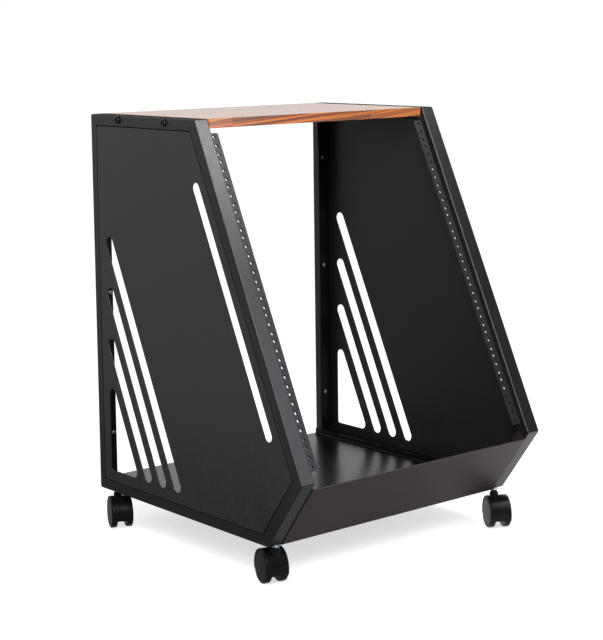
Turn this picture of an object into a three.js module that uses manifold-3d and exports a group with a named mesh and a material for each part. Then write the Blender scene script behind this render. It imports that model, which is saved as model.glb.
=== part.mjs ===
// A sloping rack cabinet on casters: two welded steel side frames with inset sheet panels,
// a wooden top board between them, two perforated rack rails, a bottom shelf and a front apron.
//
// Lengths are in millimetres. X runs across the cabinet, the front faces -Y and +Z is up.
// The origin is on the floor, under the middle of the cabinet.
//
// Most pieces are drawn in the side plane, where a point is [depth, height]:
// depth runs forward from the rear face and height runs up from the underside of the frames.

import * as THREE from "three";
import { mergeVertices } from "three/addons/utils/BufferGeometryUtils.js";
import Module from "manifold-3d";

const wasm = await Module();
wasm.setup();

// Side frames
const overallWidth = 541.2;
const frameHeight = 678.4;
const topDepth = 310.3;
const noseHeight = 117.2;
const baseDepth = 488;
const slopeAngle = THREE.MathUtils.degToRad(25.3);
const barWidth = 27.5;
const rearPostDepth = 16.5;
const topBarDepth = 19;
const frontPostDepth = 19;
const noseBarDepth = 21;
const baseBarDepth = 18;
const tubeWall = 1.5;
const weldGap = 0.3;

// Side panels
const sheet = 1.5;
const panelGap = 0.9;
const panelCornerRadius = 4;
const panelFlange = 23;
const flangeRelief = 6;
const panelMargin = 21.5;
const slotWidth = 21.2;
const slotPitch = 39.2;
const frontSlotWidth = 18;
const frontSlotMargin = 19;
const frontSlotDrop = 112.7;
const frontSlotRise = 65;
const slotCount = 3;
const firstSlotSetBack = 332.3;
const triangleSetBack = 440.5;
const triangleCornerRadius = 10;
const triangleSquareRadius = 4;
const panelScrewShares = [0.15, 0.528, 0.842];
const panelScrewInset = 9;

// Top board
const boardThickness = 16;
const boardGap = 0.5;
const boardEase = 1;
const boltFromRear = 86.4;
const boltSpacing = 138.4;
const boltRadius = 4;
const boltHeadRadius = 7;
const boltHeadHeight = 3.8;
const boltSocketRadius = 2.9;
const boltSocketDepth = 2.4;
const boltReach = 18;

// Rack rails
const rackPitch = 44.45;
const rackHolesPerUnit = 3;
const rackFirstHole = 6.35;
const rackHolePitch = 15.875;
const rackHoleInset = 10.55;
const rackHoleRadius = 3;
const railTop = 21.6;
const railFoot = 15;
const railSetBack = 9.9;
const railFace = 20;
const railTabReach = 20;
const railTabLength = 30;
const railSheet = 2;
const railCorner = 3;
const railScrewInset = 16;
const railScrewShares = [0.08, 0.92];

// Bottom shelf
const shelfHeight = 17;
const shelfLip = 9;
const shelfRearInset = 1.5;
const lugSize = 18;
const lugThickness = 3;
const rearLugDepth = 90;
const frontLugSetBack = 88;

// Front apron
const apronDrop = 13;
const apronReturn = 15.5;
const apronBend = 5;
const apronFoot = 20;
const apronScrewShares = [0.22, 0.78];

// Small screws, all of one size
const screwRadius = 2;
const screwHeadRadius = 4;
const screwHeadHeight = 2.2;
const screwSocketRadius = 1.3;
const screwSocketDepth = 1.1;
const screwReach = 7;

// Screw heads of both sizes: where the crown begins and how much of the height is upright
const headCrownShare = 0.6;
const headEdgeShare = 0.35;

// Casters
const casterHeight = 66;
const casterEdge = 18.6;
const rearCasterDepth = 28;
const frontCasterSetBack = 4;
const casterTrail = 18;
const wheelRadius = 27;
const wheelWidth = 11;
const wheelInset = 8.5;
const wheelEdge = 1.2;
const wheelRimWidth = 4;
const wheelDish = 1;
const hoodRadius = 30.5;
const hoodWall = 2.4;
const hoodWidth = 37.5;
const hoodWrapAngle = THREE.MathUtils.degToRad(20);
const webWidth = 13;
const bossTop = 7.6;
const bossTopRadius = 8;
const bossFootRadius = 6;
const neckRadius = 5.8;
const collarRadius = 6.6;
const collarHeight = 2.8;
const stemRadius = 5;
const stemLength = 15;
const pinRadius = 3.6;
const pinLength = 22;
const axleRadius = 3;
const weldNutRadius = 9;
const weldNutHeight = 8;
const restAngles = { frontLeft: -16, frontRight: 151, rearLeft: 157, rearRight: 202 };

// Running clearances and the lengths by which cutters run past what they cut
const clearance = 0.3;
const overrun = 3;
const arcSteps = 4;
const roundSides = 16;
const screwSides = 8;
const hexSides = 6;
const wheelSides = 24;

const materials = {
  coat: new THREE.MeshStandardMaterial({ color: 0x2b2a2b, roughness: 0.55, metalness: 0.3 }),
  panel: new THREE.MeshStandardMaterial({ color: 0x343231, roughness: 0.6, metalness: 0.25 }),
  rail: new THREE.MeshStandardMaterial({ color: 0x3c3b40, roughness: 0.45, metalness: 0.5 }),
  wood: new THREE.MeshStandardMaterial({ color: 0xb96e3a, roughness: 0.35, metalness: 0 }),
  blackSteel: new THREE.MeshStandardMaterial({ color: 0x18181a, roughness: 0.3, metalness: 0.9 }),
  zinc: new THREE.MeshStandardMaterial({ color: 0xbfc6cc, roughness: 0.3, metalness: 1 }),
  nylon: new THREE.MeshStandardMaterial({ color: 0x141519, roughness: 0.35, metalness: 0 }),
};

// Worked-out sizes
const halfWidth = overallWidth / 2;
const innerHalf = halfWidth - barWidth;
const slopeRun = (frameHeight - noseHeight) * Math.tan(slopeAngle);
const noseDepth = topDepth + slopeRun;
const slopeLength = slopeRun / Math.sin(slopeAngle);
const rackUnits = Math.floor((slopeLength - railTop - railFoot) / rackPitch);
const railLength = rackUnits * rackPitch;
const rackHoleX = innerHalf - rackHoleInset;
const lugDepths = [rearLugDepth, baseDepth - frontLugSetBack];
const casterX = halfWidth - casterEdge;
const frontCasterDepth = baseDepth - frontCasterSetBack;
const axleHeight = wheelRadius - casterHeight;
const hoodBore = hoodRadius - hoodWall;

const cabinet = new THREE.Group();
const body = new THREE.Group();
body.position.set(0, noseDepth / 2, casterHeight);
cabinet.add(body);

// Solids and meshes

function solidOf(geometry) {
  const bare = geometry.clone();
  bare.deleteAttribute("normal");
  bare.deleteAttribute("uv");
  const welded = mergeVertices(bare);
  const mesh = new wasm.Mesh({
    numProp: 3,
    vertProperties: new Float32Array(welded.attributes.position.array),
    triVerts: new Uint32Array(welded.index.array),
  });
  return new wasm.Manifold(mesh);
}

function geometryOf(solid) {
  const { vertProperties, triVerts } = solid.getMesh();
  const geometry = new THREE.BufferGeometry();
  geometry.setAttribute("position", new THREE.BufferAttribute(vertProperties, 3));
  geometry.setIndex(new THREE.BufferAttribute(triVerts, 1));
  geometry.computeVertexNormals();
  return geometry;
}

function joined(...parts) {
  return parts.map(solidOf).reduce((whole, part) => whole.add(part));
}

function cut(solid, cutters) {
  return cutters.map(solidOf).reduce((rest, cutter) => rest.subtract(cutter), solid);
}

function addMesh(parent, name, geometry, material) {
  const mesh = new THREE.Mesh(geometry, material);
  mesh.name = name;
  parent.add(mesh);
  return mesh;
}

// Points and lines of the side plane

const along = (point, direction, distance) => [
  point[0] + direction[0] * distance,
  point[1] + direction[1] * distance,
];

const inwards = (direction) => [direction[1], -direction[0]];

function lineThrough(from, to) {
  const length = Math.hypot(to[0] - from[0], to[1] - from[1]);
  return { point: from, direction: [(to[0] - from[0]) / length, (to[1] - from[1]) / length] };
}

function shifted(line, distance) {
  return { point: along(line.point, inwards(line.direction), distance), direction: line.direction };
}

function meet(a, b) {
  const [ax, ay] = a.direction;
  const [bx, by] = b.direction;
  const gap = [b.point[0] - a.point[0], b.point[1] - a.point[1]];
  const distance = (gap[0] * by - gap[1] * bx) / (ax * by - ay * bx);
  return along(a.point, a.direction, distance);
}

const inSpace = (x, [depth, height]) => new THREE.Vector3(x, -depth, height);

const outwardInSpace = (line) => {
  const inward = inwards(line.direction);
  return new THREE.Vector3(0, inward[0], -inward[1]);
};

function polygon(points) {
  return new THREE.Shape(points.map(([x, y]) => new THREE.Vector2(x, y)));
}

// A polygon whose corners are arcs, each of its own radius.
function roundedPolygon(points, radii, kind = THREE.Shape) {
  const outline = new kind();
  points.forEach((corner, i) => {
    const before = points[(i + points.length - 1) % points.length];
    const after = points[(i + 1) % points.length];
    const back = lineThrough(corner, before).direction;
    const ahead = lineThrough(corner, after).direction;
    const turn = Math.acos(back[0] * ahead[0] + back[1] * ahead[1]);
    const tangent = radii[i] / Math.tan(turn / 2);
    const middle = lineThrough([0, 0], [back[0] + ahead[0], back[1] + ahead[1]]).direction;
    const centre = along(corner, middle, radii[i] / Math.sin(turn / 2));
    const first = along(corner, back, tangent);
    const last = along(corner, ahead, tangent);
    const startAngle = Math.atan2(first[1] - centre[1], first[0] - centre[0]);
    const endAngle = Math.atan2(last[1] - centre[1], last[0] - centre[0]);
    const clockwise = back[0] * ahead[1] - back[1] * ahead[0] > 0;
    outline.absarc(centre[0], centre[1], radii[i], startAngle, endAngle, clockwise);
  });
  outline.closePath();
  return outline;
}

// A straight slot with round ends, between two end centres.
function slotPath(top, bottom, radius) {
  const { direction } = lineThrough(top, bottom);
  const angle = Math.atan2(direction[1], direction[0]);
  const path = new THREE.Path();
  path.absarc(top[0], top[1], radius, angle + Math.PI / 2, angle - Math.PI / 2, false);
  path.absarc(bottom[0], bottom[1], radius, angle - Math.PI / 2, angle + Math.PI / 2, false);
  path.closePath();
  return path;
}

// A shape of the side plane, extruded across the cabinet from one X to another.
function acrossFrom(shape, fromX, toX) {
  const low = Math.min(fromX, toX);
  const high = Math.max(fromX, toX);
  const geometry = new THREE.ExtrudeGeometry(shape, {
    depth: high - low,
    bevelEnabled: false,
    curveSegments: arcSteps,
  });
  const turn = new THREE.Matrix4().makeBasis(
    new THREE.Vector3(0, -1, 0),
    new THREE.Vector3(0, 0, 1),
    new THREE.Vector3(-1, 0, 0),
  );
  return geometry.applyMatrix4(turn).translate(high, 0, 0);
}

// A round rod from a start point along a direction.
function rod(start, direction, length, radius, sides = screwSides) {
  const geometry = new THREE.CylinderGeometry(radius, radius, length, sides);
  geometry.translate(0, length / 2, 0);
  const turn = new THREE.Quaternion().setFromUnitVectors(new THREE.Vector3(0, 1, 0), direction);
  return geometry.applyQuaternion(turn).translate(start.x, start.y, start.z);
}

// A button-head screw whose head seats at a point and whose shank runs along a direction.
function screw(seat, direction, size) {
  const profile = [
    new THREE.Vector2(0, -size.headHeight),
    new THREE.Vector2(size.headRadius * headCrownShare, -size.headHeight),
    new THREE.Vector2(size.headRadius, -size.headHeight * headEdgeShare),
    new THREE.Vector2(size.headRadius, 0),
    new THREE.Vector2(size.radius, 0),
    new THREE.Vector2(size.radius, size.reach),
    new THREE.Vector2(0, size.reach),
  ];
  const turned = new THREE.LatheGeometry(profile, size.sides);
  const socketTop = new THREE.Vector3(0, -size.headHeight - overrun, 0);
  const inwardAxis = new THREE.Vector3(0, 1, 0);
  const socketLength = overrun + size.socketDepth;
  const socket = rod(socketTop, inwardAxis, socketLength, size.socketRadius, hexSides);
  const geometry = geometryOf(cut(solidOf(turned), [socket]));
  const turn = new THREE.Quaternion().setFromUnitVectors(inwardAxis, direction);
  return geometry.applyQuaternion(turn).translate(seat.x, seat.y, seat.z);
}

const smallScrew = {
  radius: screwRadius,
  reach: screwReach,
  headRadius: screwHeadRadius,
  headHeight: screwHeadHeight,
  socketRadius: screwSocketRadius,
  socketDepth: screwSocketDepth,
  sides: screwSides,
};

// The holes that screws of one size need, started outside the first sheet.
function screwHoles(places, size = smallScrew) {
  return places.map(({ seat, direction }) => {
    const start = seat.clone().addScaledVector(direction, -overrun);
    const length = overrun + size.reach + clearance;
    return rod(start, direction, length, size.radius + clearance, size.sides);
  });
}

// The outline of a side frame: five bars, named in order round the frame.

const corners = {
  bottomRear: [0, 0],
  topRear: [0, frameHeight],
  topFront: [topDepth, frameHeight],
  nose: [noseDepth, noseHeight],
  bottomFront: [baseDepth, 0],
};

const outer = {
  rear: lineThrough(corners.bottomRear, corners.topRear),
  top: lineThrough(corners.topRear, corners.topFront),
  front: lineThrough(corners.topFront, corners.nose),
  nose: lineThrough(corners.nose, corners.bottomFront),
  base: lineThrough(corners.bottomFront, corners.bottomRear),
};

const barNames = {
  rear: "rear_post",
  top: "top_bar",
  front: "front_post",
  nose: "nose_bar",
  base: "base_bar",
};

const barDepth = {
  rear: rearPostDepth,
  top: topBarDepth,
  front: frontPostDepth,
  nose: noseBarDepth,
  base: baseBarDepth,
};

const ring = ["rear", "top", "front", "nose", "base"];
const next = (name) => ring[(ring.indexOf(name) + 1) % ring.length];
const previous = (name) => ring[(ring.indexOf(name) + ring.length - 1) % ring.length];
const inner = Object.fromEntries(ring.map((name) => [name, shifted(outer[name], barDepth[name])]));

// The mitre between two bars, from the outer corner to the inner one.
const mitre = (a, b) => lineThrough(meet(outer[a], outer[b]), meet(inner[a], inner[b]));

// Where a bar starts and ends, and where its bore does. The base bar runs through to the front
// plane and has a closed end there, and the nose bar stands on it.
function barCuts(name) {
  const cuts = {
    start: shifted(mitre(previous(name), name), -weldGap / 2),
    end: shifted(mitre(name, next(name)), weldGap / 2),
    boreStart: shifted(mitre(previous(name), name), overrun),
    boreEnd: shifted(mitre(name, next(name)), -overrun),
  };
  if (name === "nose") {
    cuts.end = shifted(inner.base, weldGap);
    cuts.boreEnd = shifted(inner.base, -overrun);
  }
  if (name === "base") {
    cuts.start = outer.nose;
    cuts.boreStart = shifted(outer.nose, tubeWall);
  }
  return cuts;
}

function bar(name, side) {
  const cuts = barCuts(name);
  const quad = (near, far, start, end) =>
    polygon([meet(near, start), meet(near, end), meet(far, end), meet(far, start)]);
  const skin = quad(outer[name], inner[name], cuts.start, cuts.end);
  const bore = quad(
    shifted(outer[name], tubeWall),
    shifted(inner[name], -tubeWall),
    cuts.boreStart,
    cuts.boreEnd,
  );
  const solid = solidOf(acrossFrom(skin, side * innerHalf, side * halfWidth));
  const hollow = acrossFrom(bore, side * (innerHalf + tubeWall), side * (halfWidth - tubeWall));
  return cut(solid, [hollow]);
}

// Side panel: a folded sheet, flush in the frame's outer face, with a flange along each edge.

const panelEdge = Object.fromEntries(ring.map((name) => [name, shifted(inner[name], panelGap)]));
const flangeFace = Object.fromEntries(ring.map((name) => [name, shifted(panelEdge[name], sheet)]));
const panelCorner = Object.fromEntries(
  ring.map((name) => [name, meet(panelEdge[name], panelEdge[next(name)])]),
);

const levelAt = (height) => ({ point: [0, height], direction: [1, 0] });
const uprightAt = (depth) => ({ point: [depth, 0], direction: [0, 1] });

function panelCutouts() {
  const slotRadius = slotWidth / 2;
  const frontLine = shifted(outer.front, frontPostDepth + frontSlotMargin + frontSlotWidth / 2);
  const rearStop = uprightAt(rearPostDepth + panelMargin + slotRadius + panelGap);
  const lowStop = levelAt(baseBarDepth + panelMargin + slotRadius - panelGap);
  const cutouts = [
    slotPath(
      meet(frontLine, levelAt(frameHeight - frontSlotDrop)),
      meet(frontLine, levelAt(noseHeight + frontSlotRise)),
      frontSlotWidth / 2,
    ),
  ];
  for (let i = 0; i < slotCount; i += 1) {
    const middle = shifted(outer.front, firstSlotSetBack + i * slotPitch);
    cutouts.push(slotPath(meet(middle, rearStop), meet(middle, lowStop), slotRadius));
  }
  const rearSide = uprightAt(rearPostDepth + panelMargin);
  const lowSide = levelAt(baseBarDepth + panelMargin);
  const slopeSide = shifted(outer.front, triangleSetBack);
  cutouts.push(
    roundedPolygon(
      [meet(slopeSide, lowSide), meet(rearSide, slopeSide), meet(rearSide, lowSide)],
      [triangleCornerRadius, triangleCornerRadius, triangleSquareRadius],
      THREE.Path,
    ),
  );
  return cutouts;
}

// The panel's screws pass through its rear flange into the rear post.
const panelScrews = (side) =>
  panelScrewShares.map((share) => ({
    seat: inSpace(
      side * (innerHalf + panelScrewInset),
      meet(flangeFace.rear, levelAt(frameHeight * share)),
    ),
    direction: outwardInSpace(outer.rear),
  }));

function sidePanel(side) {
  const plate = roundedPolygon(
    ring.map((name) => panelCorner[name]),
    ring.map(() => panelCornerRadius),
  );
  plate.holes.push(...panelCutouts());
  const strips = ring.map((name) => {
    const from = along(panelCorner[previous(name)], outer[name].direction, flangeRelief);
    const to = along(panelCorner[name], outer[name].direction, -flangeRelief);
    const inward = inwards(outer[name].direction);
    const strip = polygon([from, to, along(to, inward, sheet), along(from, inward, sheet)]);
    return acrossFrom(
      strip,
      side * (halfWidth - sheet / 2),
      side * (halfWidth - sheet - panelFlange),
    );
  });
  return joined(acrossFrom(plate, side * (halfWidth - sheet), side * halfWidth), ...strips);
}

// Bolts through the top bars into the ends of the board

const boltHeight = frameHeight - boardThickness / 2;
const boltDepths = [boltFromRear, boltFromRear + boltSpacing];
const topBolt = {
  radius: boltRadius,
  reach: barWidth + boardGap + boltReach,
  headRadius: boltHeadRadius,
  headHeight: boltHeadHeight,
  socketRadius: boltSocketRadius,
  socketDepth: boltSocketDepth,
  sides: roundSides,
};

const boltsOf = (side) =>
  boltDepths.map((depth) => ({
    seat: inSpace(side * (halfWidth + clearance), [depth, boltHeight]),
    direction: new THREE.Vector3(-side, 0, 0),
  }));

function topBoard() {
  const half = innerHalf - boardGap;
  const section = roundedPolygon(
    [
      [0, frameHeight - boardThickness],
      [0, frameHeight],
      [topDepth, frameHeight],
      [topDepth, frameHeight - boardThickness],
    ],
    Array(4).fill(boardEase),
  );
  const holes = [-1, 1].flatMap((side) =>
    boltsOf(side).map(({ seat, direction }) => {
      const start = new THREE.Vector3(side * (half + overrun), seat.y, seat.z);
      const length = overrun + boltReach + clearance;
      return rod(start, direction, length, boltRadius + clearance, roundSides);
    }),
  );
  return cut(solidOf(acrossFrom(section, -half, half)), holes);
}

// Rack rails: flat strips with three holes to each rack unit, set back from the front slope.
// Two tabs, folded back at the outer edge, hold each of them to its front post.
// They are drawn in a group that lies along the slope, with its origin at the top front edge,
// its -Y pointing out of the slope and its +Z up the slope.

function rackRail(side) {
  const outside = innerHalf - clearance;
  const inside = outside - railFace;
  const low = -railTop - railLength;
  const face = roundedPolygon(
    [
      [side * inside, low],
      [side * outside, low],
      [side * outside, -railTop],
      [side * inside, -railTop],
    ],
    [railCorner, railCorner, railCorner, railCorner],
  );
  for (let unit = 0; unit < rackUnits; unit += 1) {
    for (let i = 0; i < rackHolesPerUnit; i += 1) {
      const hole = new THREE.Path();
      const height = -railTop - unit * rackPitch - rackFirstHole - i * rackHolePitch;
      hole.absarc(side * rackHoleX, height, rackHoleRadius, 0, Math.PI * 2, false);
      face.holes.push(hole);
    }
  }
  const plate = new THREE.ExtrudeGeometry(face, {
    depth: railSheet,
    bevelEnabled: false,
    curveSegments: arcSteps,
  });
  plate.rotateX(Math.PI / 2).translate(0, railSetBack + railSheet, 0);
  const tabs = railScrewShares.map((share) => {
    const tab = new THREE.BoxGeometry(railSheet, railTabReach, railTabLength);
    const middle = railSetBack + railTabReach / 2;
    return tab.translate(side * (outside - railSheet / 2), middle, -railTop - railLength * share);
  });
  return joined(plate, ...tabs);
}

const railGroup = new THREE.Group();
railGroup.position.copy(inSpace(0, corners.topFront));
railGroup.rotation.x = -slopeAngle;
body.add(railGroup);

// The rail's screws, in the rail group's own frame or carried into the cabinet body's frame.
function railScrews(side) {
  return railScrewShares.map((share) => ({
    seat: new THREE.Vector3(
      side * (innerHalf - clearance - railSheet),
      railScrewInset,
      -railTop - railLength * share,
    ),
    direction: new THREE.Vector3(side, 0, 0),
  }));
}

function inBody({ seat, direction }) {
  railGroup.updateMatrix();
  return { seat: seat.clone().applyMatrix4(railGroup.matrix), direction };
}

// Front apron: a folded sheet in the plane of the nose bars, with a rounded bend to a foot that
// runs back under the shelf, and a return along the inside of each nose bar.

const apronHalf = innerHalf - panelGap;

function apronSection() {
  const top = along(corners.nose, outer.nose.direction, apronDrop);
  const rise = Math.atan2(outer.nose.direction[1], outer.nose.direction[0]);
  const outerBend = shifted(outer.nose, apronBend);
  const bendCentre = meet(outerBend, levelAt(apronBend));
  const normalAngle = rise + Math.PI / 2;
  const section = new THREE.Shape();
  section.moveTo(top[0], top[1]);
  section.absarc(bendCentre[0], bendCentre[1], apronBend, normalAngle, -Math.PI / 2, true);
  section.lineTo(bendCentre[0] - apronFoot, 0);
  section.lineTo(bendCentre[0] - apronFoot, sheet);
  section.absarc(
    bendCentre[0],
    bendCentre[1],
    apronBend - sheet,
    -Math.PI / 2,
    normalAngle,
    false,
  );
  const topInside = along(top, inwards(outer.nose.direction), sheet);
  section.lineTo(topInside[0], topInside[1]);
  section.closePath();
  return section;
}

function apronReturnShape() {
  const top = along(corners.nose, outer.nose.direction, apronDrop);
  const inward = inwards(outer.nose.direction);
  const back = shifted(outer.nose, apronReturn);
  const low = levelAt(apronBend);
  return polygon([
    along(top, inward, sheet / 2),
    along(top, inward, apronReturn),
    meet(back, low),
    meet(shifted(outer.nose, sheet / 2), low),
  ]);
}

function apronScrews(side) {
  const start = along(corners.nose, outer.nose.direction, apronDrop);
  const end = meet(outer.nose, levelAt(apronBend));
  const length = Math.hypot(end[0] - start[0], end[1] - start[1]);
  const middle = (sheet + apronReturn) / 2;
  return apronScrewShares.map((share) => {
    const onFace = along(start, outer.nose.direction, length * share);
    const point = along(onFace, inwards(outer.nose.direction), middle);
    return {
      seat: inSpace(side * (apronHalf - sheet), point),
      direction: new THREE.Vector3(side, 0, 0),
    };
  });
}

function frontApron() {
  const returns = [-1, 1].map((side) =>
    acrossFrom(apronReturnShape(), side * (apronHalf - sheet), side * apronHalf),
  );
  return joined(acrossFrom(apronSection(), -apronHalf, apronHalf), ...returns);
}

// Bottom shelf: a sheet with upturned side lips, resting on lugs welded inside the base bars.

const shelfHalf = innerHalf - panelGap;
const shelfUnderside = shelfHeight - sheet;

function bottomShelf() {
  const apronBack = shifted(outer.nose, sheet + clearance);
  const frontEdge = meet(apronBack, levelAt(shelfUnderside))[0];
  const returnBack = shifted(outer.nose, apronReturn + clearance);
  const lipFront = meet(returnBack, levelAt(shelfUnderside))[0];
  const floorPlate = polygon([
    [shelfRearInset, shelfUnderside],
    [shelfRearInset, shelfHeight],
    [frontEdge, shelfHeight],
    [frontEdge, shelfUnderside],
  ]);
  const lip = polygon([
    [shelfRearInset, shelfUnderside],
    [shelfRearInset, shelfHeight + shelfLip],
    [lipFront, shelfHeight + shelfLip],
    [lipFront, shelfUnderside],
  ]);
  const floorHalf = shelfHalf - sheet - clearance;
  const middle = acrossFrom(floorPlate, -floorHalf, floorHalf);
  const wide = polygon([
    [shelfRearInset, shelfUnderside],
    [shelfRearInset, shelfHeight],
    [lipFront, shelfHeight],
    [lipFront, shelfUnderside],
  ]);
  const lips = [-1, 1].map((side) =>
    acrossFrom(lip, side * (shelfHalf - sheet), side * shelfHalf),
  );
  return joined(middle, acrossFrom(wide, -shelfHalf + sheet / 2, shelfHalf - sheet / 2), ...lips);
}

// Screws from below, through the lugs and into the shelf, which end inside its sheet
const shelfScrewX = innerHalf - lugSize / 2;
const lugTop = shelfUnderside - clearance;
const shelfScrew = { ...smallScrew, reach: lugThickness + sheet };

const shelfScrews = (side) =>
  lugDepths.map((depth) => ({
    seat: inSpace(side * shelfScrewX, [depth, lugTop - lugThickness]),
    direction: new THREE.Vector3(0, 0, 1),
  }));

// Lugs that carry the shelf, one solid with their base bar
function shelfLugs(side) {
  return lugDepths.map((depth) => {
    const lug = polygon([
      [depth - lugSize / 2, lugTop - lugThickness],
      [depth - lugSize / 2, lugTop],
      [depth + lugSize / 2, lugTop],
      [depth + lugSize / 2, lugTop - lugThickness],
    ]);
    return acrossFrom(lug, side * (innerHalf - lugSize), side * (innerHalf + tubeWall / 2));
  });
}

// Casters: a fixed stem, a swivelling hood with its axle, and two wheels

const casterPlaces = {
  frontLeft: { side: -1, depth: frontCasterDepth },
  frontRight: { side: 1, depth: frontCasterDepth },
  rearLeft: { side: -1, depth: rearCasterDepth },
  rearRight: { side: 1, depth: rearCasterDepth },
};

const casterPoint = ({ side, depth }) => inSpace(side * casterX, [depth, 0]);
const up = new THREE.Vector3(0, 0, 1);
const collarBottom = -clearance - collarHeight;
const bossFoot = axleHeight;

function stemHole(place) {
  const start = casterPoint(place).addScaledVector(up, -overrun);
  const length = overrun + tubeWall + weldNutHeight + overrun;
  return rod(start, up, length, stemRadius + clearance, roundSides);
}

function lathe(points, sides) {
  return new THREE.LatheGeometry(
    points.map(([radius, height]) => new THREE.Vector2(radius, height)),
    sides,
  );
}

function casterStem() {
  const stem = lathe(
    [
      [0, collarBottom - pinLength],
      [pinRadius, collarBottom - pinLength],
      [pinRadius, collarBottom],
      [collarRadius, collarBottom],
      [collarRadius, -clearance],
      [stemRadius, -clearance],
      [stemRadius, stemLength],
      [0, stemLength],
    ],
    roundSides,
  );
  return stem.rotateX(Math.PI / 2);
}

// A weld nut inside the base bar, one solid with it, over the hole for a caster's stem
function weldNut(place) {
  const foot = casterPoint(place).addScaledVector(up, tubeWall / 2);
  return rod(foot, up, tubeWall / 2 + weldNutHeight, weldNutRadius, hexSides);
}

// A shape of the caster's own side plane, [back, up], centred across the caster.
function acrossCaster(shape, width) {
  const geometry = new THREE.ExtrudeGeometry(shape, {
    depth: width,
    bevelEnabled: false,
    curveSegments: 2 * arcSteps,
  });
  const turn = new THREE.Matrix4().makeBasis(
    new THREE.Vector3(0, 1, 0),
    new THREE.Vector3(0, 0, 1),
    new THREE.Vector3(1, 0, 0),
  );
  return geometry.applyMatrix4(turn).translate(-width / 2, 0, 0);
}

function casterHood() {
  const low = -hoodWrapAngle;
  const far = Math.PI + hoodWrapAngle;
  const shell = new THREE.Shape();
  shell.absarc(casterTrail, axleHeight, hoodRadius, low, far, false);
  shell.absarc(casterTrail, axleHeight, hoodBore, far, low, true);
  shell.closePath();
  const web = new THREE.Shape();
  web.absarc(casterTrail, axleHeight, hoodRadius - hoodWall / 2, low, far, false);
  web.closePath();
  const neckTop = collarBottom - clearance;
  const boss = lathe(
    [
      [0, bossFoot],
      [bossFootRadius, bossFoot],
      [bossTopRadius, -bossTop],
      [neckRadius, -bossTop],
      [neckRadius, neckTop],
      [0, neckTop],
    ],
    roundSides,
  ).rotateX(Math.PI / 2);
  const whole = joined(acrossCaster(shell, hoodWidth), acrossCaster(web, webWidth), boss);
  const pinFoot = new THREE.Vector3(0, 0, collarBottom - pinLength - clearance);
  const pinHole = rod(pinFoot, up, pinLength + overrun, pinRadius + clearance, roundSides);
  const acrossX = new THREE.Vector3(1, 0, 0);
  const axleStart = new THREE.Vector3(-hoodWidth / 2, casterTrail, axleHeight);
  const axleHole = rod(axleStart, acrossX, hoodWidth, axleRadius + clearance, roundSides);
  return cut(whole, [pinHole, axleHole]);
}

const axleEnd = wheelInset + wheelWidth - wheelRimWidth;

function casterAxle() {
  const start = new THREE.Vector3(-axleEnd, casterTrail, axleHeight);
  return rod(start, new THREE.Vector3(1, 0, 0), 2 * axleEnd, axleRadius, roundSides);
}

// A wheel turned about its axle, with a blind bore, a tread and a dished outer face.
// Its flats, not its corners, lie at the wheel's radius, so that it stands on a flat.
function casterWheel() {
  const tread = wheelRadius / Math.cos(Math.PI / wheelSides);
  const boreRadius = axleRadius + clearance;
  const boreEnd = axleEnd - wheelInset + clearance;
  const profile = [
    [0, boreEnd],
    [boreRadius, boreEnd],
    [boreRadius, 0],
    [tread - wheelEdge, 0],
    [tread, wheelEdge],
    [tread, wheelWidth - wheelEdge],
    [tread - wheelEdge, wheelWidth],
    [tread - wheelRimWidth, wheelWidth],
    [tread - wheelRimWidth - wheelDish, wheelWidth - wheelDish],
    [0, wheelWidth - wheelDish],
  ];
  const wheel = lathe(profile, wheelSides);
  wheel.rotateY(Math.PI / wheelSides);
  return wheel.rotateZ(-Math.PI / 2).translate(wheelInset, 0, 0);
}

// Building

function buildSide(side, sideName) {
  const stems = Object.values(casterPlaces).filter((place) => place.side === side);
  const extras = {
    base: [...shelfLugs(side), ...stems.map(weldNut)],
  };
  const holes = {
    rear: screwHoles(panelScrews(side)),
    top: screwHoles(boltsOf(side), topBolt),
    front: screwHoles(railScrews(side).map(inBody)),
    nose: screwHoles(apronScrews(side)),
    base: [...screwHoles(shelfScrews(side)), ...stems.map(stemHole)],
  };
  for (const name of ring) {
    const whole = (extras[name] ?? []).reduce((all, extra) => all.add(solidOf(extra)), bar(name, side));
    const geometry = geometryOf(cut(whole, holes[name]));
    addMesh(body, `${barNames[name]}_${sideName}`, geometry, materials.coat);
  }

  const panel = cut(sidePanel(side), screwHoles(panelScrews(side)));
  addMesh(body, `side_panel_${sideName}`, geometryOf(panel), materials.panel);
  const rail = cut(rackRail(side), screwHoles(railScrews(side)));
  addMesh(railGroup, `rack_rail_${sideName}`, geometryOf(rail), materials.rail);

  addScrews(body, `top_bolt_${sideName}`, boltsOf(side), topBolt);
  addScrews(body, `panel_screw_${sideName}`, lifted(panelScrews(side)), smallScrew);
  addScrews(railGroup, `rail_screw_${sideName}`, lifted(railScrews(side)), smallScrew);
  addScrews(body, `apron_screw_${sideName}`, lifted(apronScrews(side)), smallScrew);
  addScrews(body, `shelf_screw_${sideName}`, lifted(shelfScrews(side)), shelfScrew);
}

// Screw heads lie a clearance off the sheet that they hold.
const lifted = (places) =>
  places.map(({ seat, direction }) => ({
    seat: seat.clone().addScaledVector(direction, -clearance),
    direction,
  }));

function addScrews(parent, name, places, size) {
  places.forEach(({ seat, direction }, i) => {
    addMesh(parent, `${name}_${i + 1}`, screw(seat, direction, size), materials.blackSteel);
  });
}

const bothSides = (places) => [-1, 1].flatMap(places);

const shelf = cut(bottomShelf(), screwHoles(bothSides(shelfScrews)));
const apron = cut(frontApron(), screwHoles(bothSides(apronScrews)));

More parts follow.
